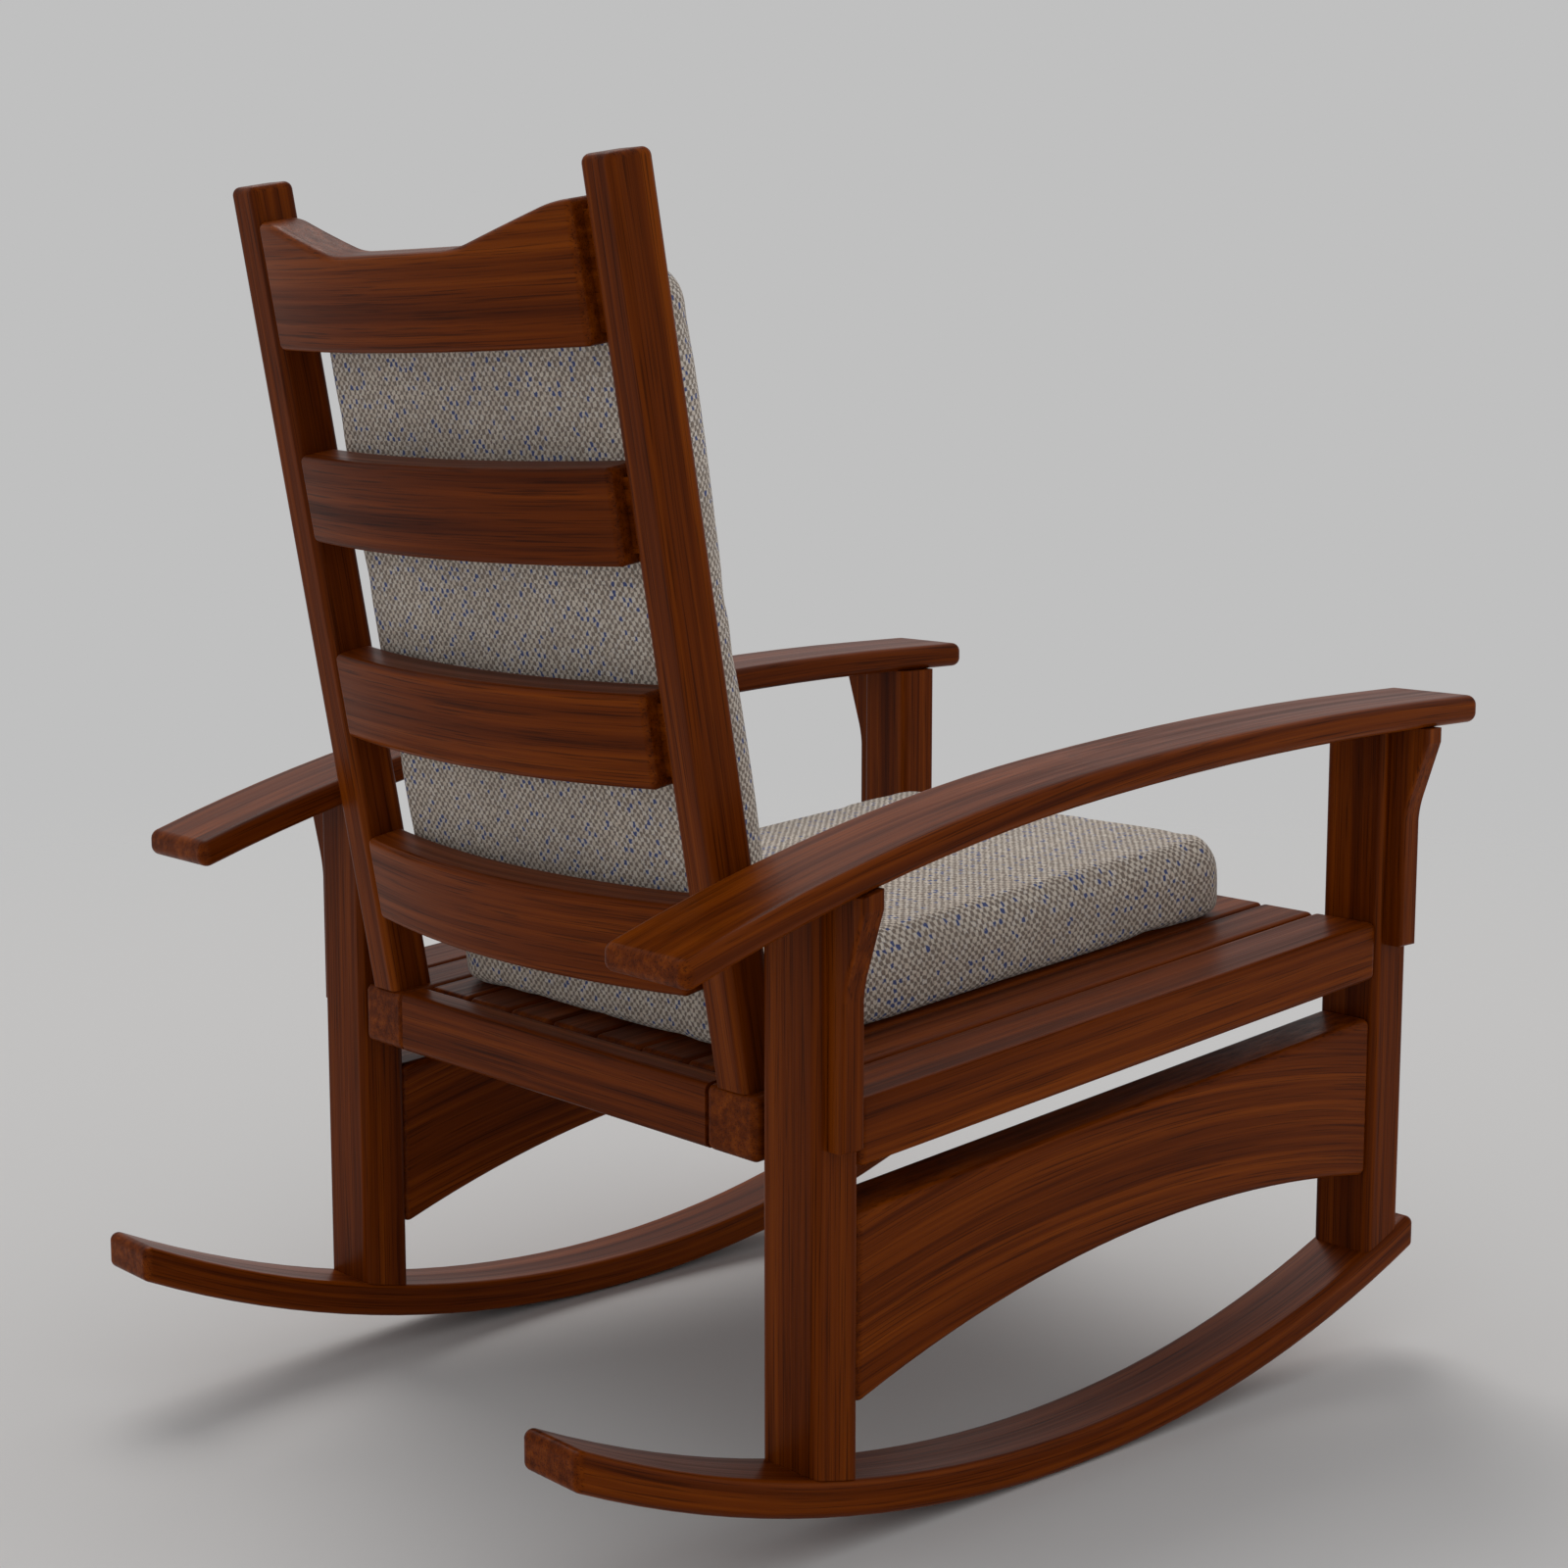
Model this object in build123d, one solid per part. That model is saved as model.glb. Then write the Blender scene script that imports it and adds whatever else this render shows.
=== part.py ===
"""Bow-arm rocking chair with a slatted back and two loose cushions, in millimetres.

+Z is up, the chair faces -Y and is the same on both sides of X = 0. The origin is on the floor
at the middle of the chair's footprint. Places along the chair are counted forward from the
rear faces of the rear legs, with forward().
"""

from build123d import *
import os
from math import cos, radians, sin, sqrt, tan

# Legs
half_width = 345.0  # middle plane to the outer face of a leg
leg_width = 64.0
leg_depth = 46.0
leg_spacing = 693.0  # front leg's rear face in front of rear leg's rear face
edge = 7.0  # rounding on the legs, rails and rockers

# Rockers
rocker_radius = 1191.0  # of the underside
rocker_thick = 30.0
rocker_overhang = 3.0  # beyond a leg on each side
rocker_lowest = 294.0  # point that touches the floor, in front of the rear legs
rocker_tail = 230.0  # behind the rear legs
rocker_nose = 22.0  # in front of the front legs

# Seat frame and deck
seat_slope = 4.85  # degrees, the front is the higher end
deck_height = 357.0  # top of the deck at the rear face of the rear legs
rail_deep = 54.0
side_rail_width = 70.0
inner_rail_width = 61.0
inner_pin_rear = 110.0  # first dowel between the side and inner rails, from the rear
inner_pin_front = 90.0  # last one, behind the front leg
side_pin_offset = 12.8  # of each side rail dowel, from the middle of a leg
cross_pin_half = 16.0  # half the length of the rear and front rails' dowels
cross_pin_drop = 37.0  # of the rear and front rails' dowels, below the deck
rail_end_gap = 0.5  # rail's end to the front leg, which the dowels cross
rear_rail_thick = 30.0
slat_count = 7
slat_thick = 20.0
slat_gap = 2.5
slat_edge = 5.0
front_rail_thick = 28.0
front_rail_setback = 34.0  # behind the front ends of the deck slats
front_rail_edge = 3.0
cleat_thick = 24.0
cleat_edge = 2.0

# Lower side panels
panel_thick = 56.0
panel_inset = 4.0
panel_gap = 37.0  # below the side rail
panel_rear_deep = 156.0
panel_front_deep = 150.0
panel_arch_rise = 43.0
panel_edge = 7.0
panel_pin_drops = (30.0, 100.0)  # below the panel's top edge

# Arms
arm_width = 98.0
arm_thick = 25.0
arm_overhang = 38.0  # beyond the outer face of a leg
arm_height = 621.0  # top of the level stretch at the front
arm_nose = 46.0  # in front of the front legs
arm_tail = 158.0  # behind the rear legs
arm_level = 85.0  # length of the level stretch
arm_middle_reach = 415.0
arm_middle_drop = 21.0
arm_rear_drop = 97.0
arm_edge = 9.0

# Corbels
corbel_thick = 23.0
corbel_long = 203.0
corbel_reach = 39.0
corbel_stem = 17.5
corbel_lip = 13.0
corbel_flare = 50.0
corbel_sweep = 24.0
corbel_flare_share = 0.22  # of the reach beyond the stem that is left where the flare ends
corbel_edge = 3.0

# Back
recline = 10.05  # degrees
post_width = 38.0
post_depth = 42.0
post_long = 722.0
post_inset = 101.0  # middle of a post to the outer face of a leg
back_slat_thick = 38.0
back_slat_proud = 6.5  # end of a slat's rear face, behind the posts
back_slat_end_gap = 9.5  # from a slat's end to the post, which the tenon crosses
back_slat_edge = 6.0
back_bow = 22.0
back_slat_wide = 76.0
back_slat_heights = (112.0, 281.0, 456.0)  # middles, along the posts
crest_low = 584.0
crest_high = 692.0
crest_scoop = 30.0
crest_shoulder = 18.0  # level stretch at each end of the crest's top edge
crest_flat_half = 84.0  # middle to where the low stretch begins to climb
crest_bend = 130.0  # radius where the top edge turns
tenon_bite = 14.0  # depth of a tenon in a post
tenon_thick = 12.0
tenon_shoulder = 9.0

# Cushions
seat_cushion_inset = 119.0  # side of the cushion to the outer face of a leg
seat_cushion_rear_gap = 3.0  # in front of the posts
seat_cushion_front = 42.0  # behind the front ends of the deck slats
seat_cushion_thick = 74.0
seat_cushion_edge = 24.0
back_cushion_gap = 1.5  # side of the cushion to a post
back_cushion_thick = 72.0
back_cushion_top = 650.0  # along the posts
back_cushion_edge = 30.0

# Dowels, screws and clearances
dowel_radius = 5.0
leg_dowel_radius = 8.0
dowel_half = 25.0
rocker_bite = 19.0  # depth of a dowel in a rocker
arm_bite = 14.0  # depth of a dowel in an arm
leg_bite = 42.0  # depth of a dowel in a leg's end
corbel_bite = 12.0
screw_radius = 2.0
screw_long = 34.0
screw_tip_drop = 8.0  # below the top of a deck slat
screw_head_radius = 4.0
screw_head_thick = 2.5
screw_well_spare = 1.0  # that a screw's well runs on below its bar
dowel_clearance = 0.1
seat_clearance = 0.1  # between pieces that meet on a curved face
mortise_clearance = 0.2
cushion_clearance = 0.6

leg_front = leg_spacing + leg_depth
front_reach = max(leg_front + arm_nose, leg_front + rocker_nose)
rear_reach = max(rocker_tail, arm_tail)
rear_face = (front_reach - rear_reach) / 2
leg_inner = half_width - leg_width
leg_middle = half_width - leg_width / 2
inner_rail_outer = half_width - side_rail_width
inner_rail_inner = inner_rail_outer - inner_rail_width
rail_front = leg_spacing - rail_end_gap
slope = tan(radians(seat_slope))
post_foot_x = half_width - post_inset
post_inner = post_foot_x - post_width / 2
seat_cushion_half = half_width - seat_cushion_inset
back_cushion_half = post_inner - back_cushion_gap
back_slat_half = post_inner - back_slat_end_gap
sides = {"left": 1, "right": -1}
leg_places = {"rear": leg_depth / 2, "front": leg_spacing + leg_depth / 2}


def forward(distance):
    """Y of a point that far in front of the rear legs' rear faces."""
    return rear_face - distance


def deck(distance):
    """Z of the deck's top there."""
    return deck_height + distance * slope


def rocker_z(distance, lift):
    """Z of the arc that lies that much above the rocker's underside."""
    radius = rocker_radius - lift
    return rocker_radius - sqrt(radius**2 - (distance - rocker_lowest) ** 2)


def span_x(face, side, low, high):
    """Solid of a YZ face between two distances from the middle plane, on one side of it."""
    start = min(side * low, side * high)
    return extrude(Pos(start, 0, 0) * face, amount=high - low, dir=(1, 0, 0))


def rounded(solid, radius):
    return fillet(solid.edges(), radius)


def sloped_face(rear, front, top, bottom):
    """YZ outline with upright ends, between two depths below the deck's top."""
    corners = [
        (forward(rear), deck(rear) - top),
        (forward(front), deck(front) - top),
        (forward(front), deck(front) - bottom),
        (forward(rear), deck(rear) - bottom),
    ]
    return make_face(Plane.YZ * Polyline(*corners, close=True))


def cylinder(radius, start, end):
    axis = Vector(*end) - Vector(*start)
    return extrude(Plane(origin=start, z_dir=axis) * Circle(radius), amount=axis.length)


def fuse(pieces):
    return Compound(children=list(pieces))


def cut(solid, tools):
    for tool in tools:
        solid = solid - tool
    return solid


# Fasteners: each list holds the two ends and the radius of one pin.
def rocker_pins():
    pins = []
    for side in sides.values():
        for place in leg_places.values():
            seat = rocker_z(place, rocker_thick)
            low = (side * leg_middle, forward(place), seat - rocker_bite)
            pins.append((low, (side * leg_middle, forward(place), seat + leg_bite), leg_dowel_radius))
    return pins


def arm_pins():
    pins = []
    for side in sides.values():
        for place in leg_places.values():
            seat = arm_top(place) - arm_thick
            low = (side * leg_middle, forward(place), seat - leg_bite)
            pins.append((low, (side * leg_middle, forward(place), seat + arm_bite), dowel_radius))
    return pins


def pins_along_y(ends, x, drops):
    """Pins that cross a joint at each of the two ends of a bar, at some depths below the deck."""
    pins = []
    for side in sides.values():
        for end in ends:
            for drop in drops:
                z = deck(end) - drop
                rear = (side * x, forward(end - dowel_half), z)
                pins.append((rear, (side * x, forward(end + dowel_half), z), dowel_radius))
    return pins


def pins_along_x(x, places, drop, half):
    pins = []
    for side in sides.values():
        for place in places:
            z = deck(place) - drop
            near = (side * (x - half), forward(place), z)
            pins.append((near, (side * (x + half), forward(place), z), dowel_radius))
    return pins


def post_pins():
    pins = []
    for side in sides.values():
        low = (back_frame() * Pos(side * post_foot_x, -post_depth / 2, -dowel_half)).position
        high = (back_frame() * Pos(side * post_foot_x, -post_depth / 2, leg_bite)).position
        pins.append((tuple(low), tuple(high), dowel_radius))
    return pins


def corbel_pins():
    pins = []
    for side in sides.values():
        for place in leg_places.values():
            top = arm_top(place) - arm_thick
            for drop in (corbel_long / 2, corbel_long - 2 * corbel_stem):
                z = top - drop
                inner = (side * (half_width - dowel_half), forward(place), z)
                pins.append((inner, (side * (half_width + corbel_bite), forward(place), z), dowel_radius))
    return pins


def pin_solids(pins, clearance=0.0):
    solids = []
    for start, end, radius in pins:
        along = (Vector(*end) - Vector(*start)).normalized() * clearance
        first = tuple(Vector(*start) - along)
        last = tuple(Vector(*end) + along)
        solids.append(cylinder(radius + clearance, first, last))
    return solids


# Wooden pieces
def rocker(side):
    lift_ends = (-rocker_tail, leg_front + rocker_nose)
    low = [(forward(d), rocker_z(d, 0)) for d in (lift_ends[0], rocker_lowest, lift_ends[1])]
    high = [(forward(d), rocker_z(d, rocker_thick)) for d in (lift_ends[1], rocker_lowest, lift_ends[0])]
    outline = ThreePointArc(*low) + Line(low[2], high[0]) + ThreePointArc(*high) + Line(high[2], low[0])
    face = make_face(Plane.YZ * outline)
    solid = span_x(face, side, leg_inner - rocker_overhang, half_width + rocker_overhang)
    return cut(rounded(solid, edge), pin_solids(rocker_pins(), dowel_clearance))


def arm_lines():
    """The arm's top line: level at the front, then two arcs that fall to the rear."""
    nose = (forward(leg_front + arm_nose), arm_height)
    level = (nose[0] + arm_level, arm_height)
    middle = (level[0] + arm_middle_reach, arm_height - arm_middle_drop)
    tail = (forward(-arm_tail), arm_height - arm_middle_drop - arm_rear_drop)
    front_line = Line(nose, level)
    front_arc = TangentArc(level, middle, tangent=front_line % 1)
    rear_arc = TangentArc(middle, tail, tangent=front_arc % 1)
    return [front_line, front_arc, rear_arc]


def arm_top(distance):
    """Z of the arm's top there."""
    probe = Line((forward(distance), 0), (forward(distance), 2 * arm_height))
    for line in arm_lines():
        low, high = sorted((line.position_at(0).X, line.position_at(1).X))
        if low <= forward(distance) <= high:
            return line.find_intersection_points(probe)[0].Y
    return arm_height


def arm_face(drop):
    """The arm's side outline, lowered by a clearance."""
    top = arm_lines()
    bottom = [Pos(0, -arm_thick) * line for line in top]
    nose = Line(top[0].position_at(0), bottom[0].position_at(0))
    tail = Line(top[2].position_at(1), bottom[2].position_at(1))
    outline = Curve() + top + bottom + [nose, tail]
    return Pos(0, 0, -drop) * make_face(Plane.YZ * outline)


def arm(side):
    outer = half_width + arm_overhang
    solid = span_x(arm_face(0), side, outer - arm_width, outer)
    return cut(rounded(solid, arm_edge), pin_solids(arm_pins(), dowel_clearance))


def arm_room(side):
    """The space over and in an arm, which the legs and corbels stop under."""
    outer = half_width + arm_overhang
    return span_x(arm_face(seat_clearance), side, outer - 2 * arm_width, outer + arm_width)


def leg(side, place):
    low = rocker_z(place, rocker_thick) - rocker_thick
    high = arm_top(place) - arm_thick / 2
    blank = Pos(side * leg_middle, forward(place), (low + high) / 2) * Box(leg_width, leg_depth, high - low)
    solid = fillet(blank.edges().filter_by(Axis.Z), edge)
    under = Pos(0, forward(rocker_lowest), rocker_radius) * Rot(0, 90, 0) * Cylinder(
        rocker_radius - rocker_thick - seat_clearance, 4 * half_width
    )
    solid = solid & under
    pins = rocker_pins() + arm_pins() + corbel_pins() + side_rail_pins() + panel_pins()
    return cut(solid - arm_room(side), pin_solids(pins, dowel_clearance))


def corbel(side, place):
    top = arm_top(place) - arm_thick / 2
    foot = arm_top(place) - arm_thick - corbel_long
    lip = arm_top(place) - arm_thick - corbel_lip
    flare = lip - corbel_flare
    stem = flare - corbel_sweep
    lean = (corbel_reach - corbel_stem) * corbel_flare_share
    points = [(0, foot), (0, top), (corbel_reach, top), (corbel_reach, lip), (corbel_stem + lean, flare)]
    outline = Polyline(*points)
    slant = Vector(corbel_stem + lean - corbel_reach, flare - lip)
    sweep = TangentArc(points[-1], (corbel_stem, stem), tangent=slant)
    rest = Polyline((corbel_stem, stem), (corbel_stem, foot), (0, foot))
    face = make_face(Plane.XZ * (outline + sweep + rest))
    solid = extrude(Pos(0, corbel_thick / 2, 0) * face, amount=corbel_thick, dir=(0, -1, 0))
    long_edges = solid.edges().filter_by(lambda e: e.center().X > corbel_stem / 2).filter_by(
        lambda e: e.center().Z < top - corbel_edge
    )
    solid = fillet(long_edges, corbel_edge)
    if side < 0:
        solid = mirror(solid, about=Plane.YZ)
    solid = Pos(side * half_width, forward(place), 0) * solid
    return cut(solid - arm_room(side), pin_solids(corbel_pins(), dowel_clearance))


def side_rail_pins():
    ends = (leg_depth, leg_spacing)
    inner = pins_along_y(ends, leg_middle - side_pin_offset, [rail_deep / 2])
    return inner + pins_along_y(ends, leg_middle + side_pin_offset, [rail_deep / 2])


def panel_pins():
    drops = [panel_top() + drop for drop in panel_pin_drops]
    return pins_along_y((leg_depth, leg_spacing), panel_middle(), drops)


def inner_rail_pins():
    places = (inner_pin_rear, leg_spacing / 2, leg_spacing - inner_pin_front)
    return pins_along_x(inner_rail_outer, places, rail_deep / 2, dowel_half)


def cross_pins():
    rear = rear_rail_thick / 2
    front = rail_front - front_rail_setback - front_rail_thick / 2
    return pins_along_x(inner_rail_inner, (rear, front), cross_pin_drop, cross_pin_half)


def side_rail(side):
    solid = span_x(sloped_face(leg_depth, rail_front, 0, rail_deep), side, inner_rail_outer, half_width)
    return cut(rounded(solid, edge), pin_solids(side_rail_pins() + inner_rail_pins(), dowel_clearance))


def inner_rail(side):
    solid = span_x(sloped_face(0, rail_front, 0, rail_deep), side, inner_rail_inner, inner_rail_outer)
    pins = inner_rail_pins() + cross_pins() + post_pins()
    return cut(rounded(solid, edge), pin_solids(pins, dowel_clearance))


def cross_bar(rear, front, top, bottom, radius, pins):
    face = sloped_face(rear, front, top, bottom)
    solid = extrude(Pos(-inner_rail_inner, 0, 0) * face, amount=2 * inner_rail_inner, dir=(1, 0, 0))
    solid = fillet(solid.edges().filter_by(Axis.X), radius)
    return cut(solid, pin_solids(pins, dowel_clearance))


def rear_rail():
    return cross_bar(0, rear_rail_thick, 0, rail_deep, edge, cross_pins())


def front_rail():
    front = rail_front - front_rail_setback
    solid = cross_bar(front - front_rail_thick, front, slat_thick, rail_deep, front_rail_edge, cross_pins())
    return cut(solid, screw_solids(dowel_clearance))


def rear_cleat():
    front = rear_rail_thick + cleat_thick
    solid = cross_bar(rear_rail_thick, front, slat_thick, slat_thick + cleat_thick, cleat_edge, [])
    return cut(solid, screw_solids(dowel_clearance))


def slat_pitch():
    return 2 * inner_rail_inner / slat_count


def slat_middles():
    return [slat_pitch() * (i - (slat_count - 1) / 2) for i in range(slat_count)]


def seat_slat(middle):
    width = slat_pitch() - slat_gap
    face = sloped_face(rear_rail_thick, rail_front, 0, slat_thick)
    solid = extrude(Pos(middle - width / 2, 0, 0) * face, amount=width, dir=(1, 0, 0))
    return cut(rounded(solid, slat_edge), screw_solids(dowel_clearance))


def screw_solids(clearance=0.0):
    """Screws driven up through the front rail and the rear cleat into each deck slat."""
    front = rail_front - front_rail_setback - front_rail_thick / 2
    rear = rear_rail_thick + cleat_thick / 2
    screws = []
    for middle in slat_middles():
        for place, bar_bottom in ((front, rail_deep), (rear, slat_thick + cleat_thick)):
            tip = deck(place) - screw_tip_drop
            head = tip - screw_long
            shank = cylinder(
                screw_radius + clearance,
                (middle, forward(place), head),
                (middle, forward(place), tip + clearance),
            )
            below_bar = deck(place) - bar_bottom - slope * screw_head_radius - screw_well_spare
            low = below_bar if clearance else head
            well = cylinder(
                screw_head_radius + clearance,
                (middle, forward(place), min(low, head)),
                (middle, forward(place), head + screw_head_thick + clearance),
            )
            screws.append(shank + well)
    return screws


def panel_top():
    return rail_deep + panel_gap


def panel_middle():
    return half_width - panel_inset - panel_thick / 2


def side_panel(side):
    rear, front = leg_depth, leg_spacing
    rear_low = (forward(rear), deck(rear) - panel_top() - panel_rear_deep)
    front_low = (forward(front), deck(front) - panel_top() - panel_front_deep)
    crown = ((rear_low[0] + front_low[0]) / 2, (rear_low[1] + front_low[1]) / 2 + panel_arch_rise)
    rear_high = (forward(rear), deck(rear) - panel_top())
    front_high = (forward(front), deck(front) - panel_top())
    outline = Polyline(rear_low, rear_high, front_high, front_low) + ThreePointArc(front_low, crown, rear_low)
    outer = half_width - panel_inset
    solid = span_x(make_face(Plane.YZ * outline), side, outer - panel_thick, outer)
    solid = rounded(solid, panel_edge)
    return cut(solid, pin_solids(panel_pins(), dowel_clearance))


# Back: built upright in its own frame, whose Z runs up the posts, and then leaned.
def back_frame():
    return Pos(0, forward(0), deck_height) * Rot(-recline, 0, 0)


def back_slat_face():
    """XY outline of a bowed slat between the posts."""
    rear = ThreePointArc(
        (-back_slat_half, back_slat_proud),
        (0, back_slat_proud + back_bow),
        (back_slat_half, back_slat_proud),
    )
    front = Pos(0, -back_slat_thick) * rear
    left = Line(rear.position_at(0), front.position_at(0))
    right = Line(rear.position_at(1), front.position_at(1))
    return make_face(Curve() + [rear, front, left, right])


def tenon_boxes(low, high, clearance=0.0):
    middle_y = back_slat_proud - back_slat_thick / 2
    tall = high - low - 2 * tenon_shoulder
    inner = back_slat_half - tenon_bite
    outer = post_inner + tenon_bite
    boxes = []
    for side in sides.values():
        x = side * (inner + outer) / 2
        size = (outer - inner + 2 * clearance, tenon_thick + 2 * clearance, tall + 2 * clearance)
        boxes.append(Pos(x, middle_y, (low + high) / 2) * Box(*size))
    return boxes


def slat_ranges():
    """Low and high end of each bowed piece of the back, as far as its tenons go."""
    ranges = [(h - back_slat_wide / 2, h + back_slat_wide / 2) for h in back_slat_heights]
    return ranges + [(crest_low, crest_high)]


def back_slat(low, high):
    solid = extrude(Pos(0, 0, low) * back_slat_face(), amount=high - low)
    solid = rounded(solid, back_slat_edge)
    for box in tenon_boxes(low, high):
        solid = solid + box
    return back_frame() * solid


def crest_rail():
    """Bowed like the slats, with a top edge that slopes from two level shoulders to a low middle."""
    blank_high = crest_high + crest_scoop
    solid = extrude(Pos(0, 0, crest_low) * back_slat_face(), amount=blank_high - crest_low)
    shoulder = back_slat_half - crest_shoulder
    outer = back_slat_half + crest_shoulder
    low = crest_high - crest_scoop
    right_end = [(outer, crest_high), (shoulder, crest_high), (crest_flat_half, low)]
    left_end = [(-crest_flat_half, low), (-shoulder, crest_high), (-outer, crest_high)]
    scoop = FilletPolyline(*right_end, *left_end, radius=crest_bend)
    lid_high = blank_high + crest_scoop
    lid = Polyline((-outer, crest_high), (-outer, lid_high), (outer, lid_high), (outer, crest_high))
    face = Pos(0, post_depth, 0) * make_face(Plane.XZ * (scoop + lid))
    solid = solid - extrude(face, amount=3 * post_depth, dir=(0, -1, 0))
    solid = rounded(solid, back_slat_edge)
    for box in tenon_boxes(crest_low, crest_high):
        solid = solid + box
    return back_frame() * solid


def back_post(side):
    low = -post_depth
    blank = Pos(side * post_foot_x, -post_depth / 2, (low + post_long) / 2) * Box(
        post_width, post_depth, post_long - low
    )
    solid = rounded(blank, edge)
    for span in slat_ranges():
        solid = cut(solid, tenon_boxes(*span, clearance=mortise_clearance))
    solid = back_frame() * solid
    reach = 4 * post_depth
    below = sloped_face(-reach, reach, 0, reach)
    solid = solid - extrude(Pos(-half_width, 0, 0) * below, amount=2 * half_width, dir=(1, 0, 0))
    return cut(solid, pin_solids(post_pins(), dowel_clearance))


# Cushions, as plain solids
def seat_cushion():
    rear = post_depth / cos(radians(recline)) + seat_cushion_rear_gap
    front = rail_front - seat_cushion_front
    face = sloped_face(rear, front, -seat_cushion_thick - cushion_clearance, -cushion_clearance)
    solid = extrude(Pos(-seat_cushion_half, 0, 0) * face, amount=2 * seat_cushion_half, dir=(1, 0, 0))
    return rounded(solid, seat_cushion_edge)


def back_cushion():
    """Leans on the slats' front faces and stands on the seat cushion."""
    behind = back_slat_proud - back_slat_thick - cushion_clearance
    block = Pos(0, behind - back_cushion_thick / 2, back_cushion_top / 2) * Box(
        2 * back_cushion_half, back_cushion_thick, back_cushion_top
    )
    solid = back_frame() * block
    below = sloped_face(-half_width, half_width, -seat_cushion_thick - 3 * cushion_clearance, half_width)
    solid = solid - extrude(Pos(-half_width, 0, 0) * below, amount=2 * half_width, dir=(1, 0, 0))
    return rounded(solid, back_cushion_edge)


def build():
    nodes = {}
    for name, side in sides.items():
        nodes[f"rocker_{name}"] = rocker(side)
        for end, place in leg_places.items():
            nodes[f"leg_{end}_{name}"] = leg(side, place)
            nodes[f"corbel_{end}_{name}"] = corbel(side, place)
        nodes[f"arm_{name}"] = arm(side)
        nodes[f"side_rail_{name}"] = side_rail(side)
        nodes[f"inner_rail_{name}"] = inner_rail(side)
        nodes[f"side_panel_{name}"] = side_panel(side)
        nodes[f"back_post_{name}"] = back_post(side)
    nodes["rear_rail"] = rear_rail()
    nodes["front_rail"] = front_rail()
    nodes["rear_cleat"] = rear_cleat()
    for number, middle in enumerate(slat_middles(), start=1):
        nodes[f"seat_slat_{number}"] = seat_slat(middle)
    for name, span in zip(("lower", "middle", "upper"), slat_ranges()):
        nodes[f"back_slat_{name}"] = back_slat(*span)
    nodes["crest_rail"] = crest_rail()
    nodes["seat_cushion"] = seat_cushion()
    nodes["back_cushion"] = back_cushion()
    nodes["rocker_dowels"] = fuse(pin_solids(rocker_pins()))
    nodes["arm_dowels"] = fuse(pin_solids(arm_pins()))
    nodes["corbel_dowels"] = fuse(pin_solids(corbel_pins()))
    nodes["side_rail_dowels"] = fuse(pin_solids(side_rail_pins()))
    nodes["panel_dowels"] = fuse(pin_solids(panel_pins()))
    nodes["inner_rail_dowels"] = fuse(pin_solids(inner_rail_pins()))
    nodes["cross_rail_dowels"] = fuse(pin_solids(cross_pins()))
    nodes["post_dowels"] = fuse(pin_solids(post_pins()))
    nodes["slat_screws"] = fuse(screw_solids())
    return nodes


os.makedirs("parts", exist_ok=True)
for node, shape in build().items():
    export_step(shape, f"parts/{node}.step")
    print(node)
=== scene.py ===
import bpy
import math
from mathutils import Matrix, Vector


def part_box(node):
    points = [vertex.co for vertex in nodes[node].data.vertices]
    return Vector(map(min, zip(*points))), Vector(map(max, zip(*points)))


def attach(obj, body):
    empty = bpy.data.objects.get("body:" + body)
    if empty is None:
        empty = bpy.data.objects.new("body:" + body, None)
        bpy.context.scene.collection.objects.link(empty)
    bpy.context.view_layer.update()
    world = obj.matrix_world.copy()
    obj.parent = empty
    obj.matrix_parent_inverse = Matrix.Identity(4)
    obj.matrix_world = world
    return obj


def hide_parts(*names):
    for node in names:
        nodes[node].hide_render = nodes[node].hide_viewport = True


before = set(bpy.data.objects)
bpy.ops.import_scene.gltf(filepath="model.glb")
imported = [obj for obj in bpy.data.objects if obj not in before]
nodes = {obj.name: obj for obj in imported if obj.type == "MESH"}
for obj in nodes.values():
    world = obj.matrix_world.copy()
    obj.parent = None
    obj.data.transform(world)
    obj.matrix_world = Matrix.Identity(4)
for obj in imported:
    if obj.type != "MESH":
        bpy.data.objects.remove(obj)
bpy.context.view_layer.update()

print("frame loaded:", len(nodes), "nodes")

noiseLow, noiseHigh = 0.3, 0.7     # nearly all that a noise texture gives lies between these


def deselectAll():
    if bpy.context.object and bpy.context.object.mode != "OBJECT":
        bpy.ops.object.mode_set(mode="OBJECT")
    bpy.ops.object.select_all(action="DESELECT")


def pickOnly(piece):
    deselectAll()
    piece.select_set(True)
    bpy.context.view_layer.objects.active = piece


def colour(hexText):
    raw = [int(hexText[i:i + 2], 16) / 255 for i in (1, 3, 5)]
    return [c / 12.92 if c <= 0.04045 else ((c + 0.055) / 1.055) ** 2.4 for c in raw] + [1.0]


def addNode(tree, kind, links=None, **settings):
    node = tree.nodes.new(kind)
    for key, value in settings.items():
        setattr(node, key, value)
    for socket, source in (links or {}).items():
        target = node.inputs[socket]
        if isinstance(source, bpy.types.NodeSocket):
            tree.links.new(source, target)
        else:
            target.default_value = source
    return node


def newMaterial(name):
    material = bpy.data.materials.new(name)
    material.use_nodes = True
    material.node_tree.nodes.clear()
    return material, material.node_tree


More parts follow.
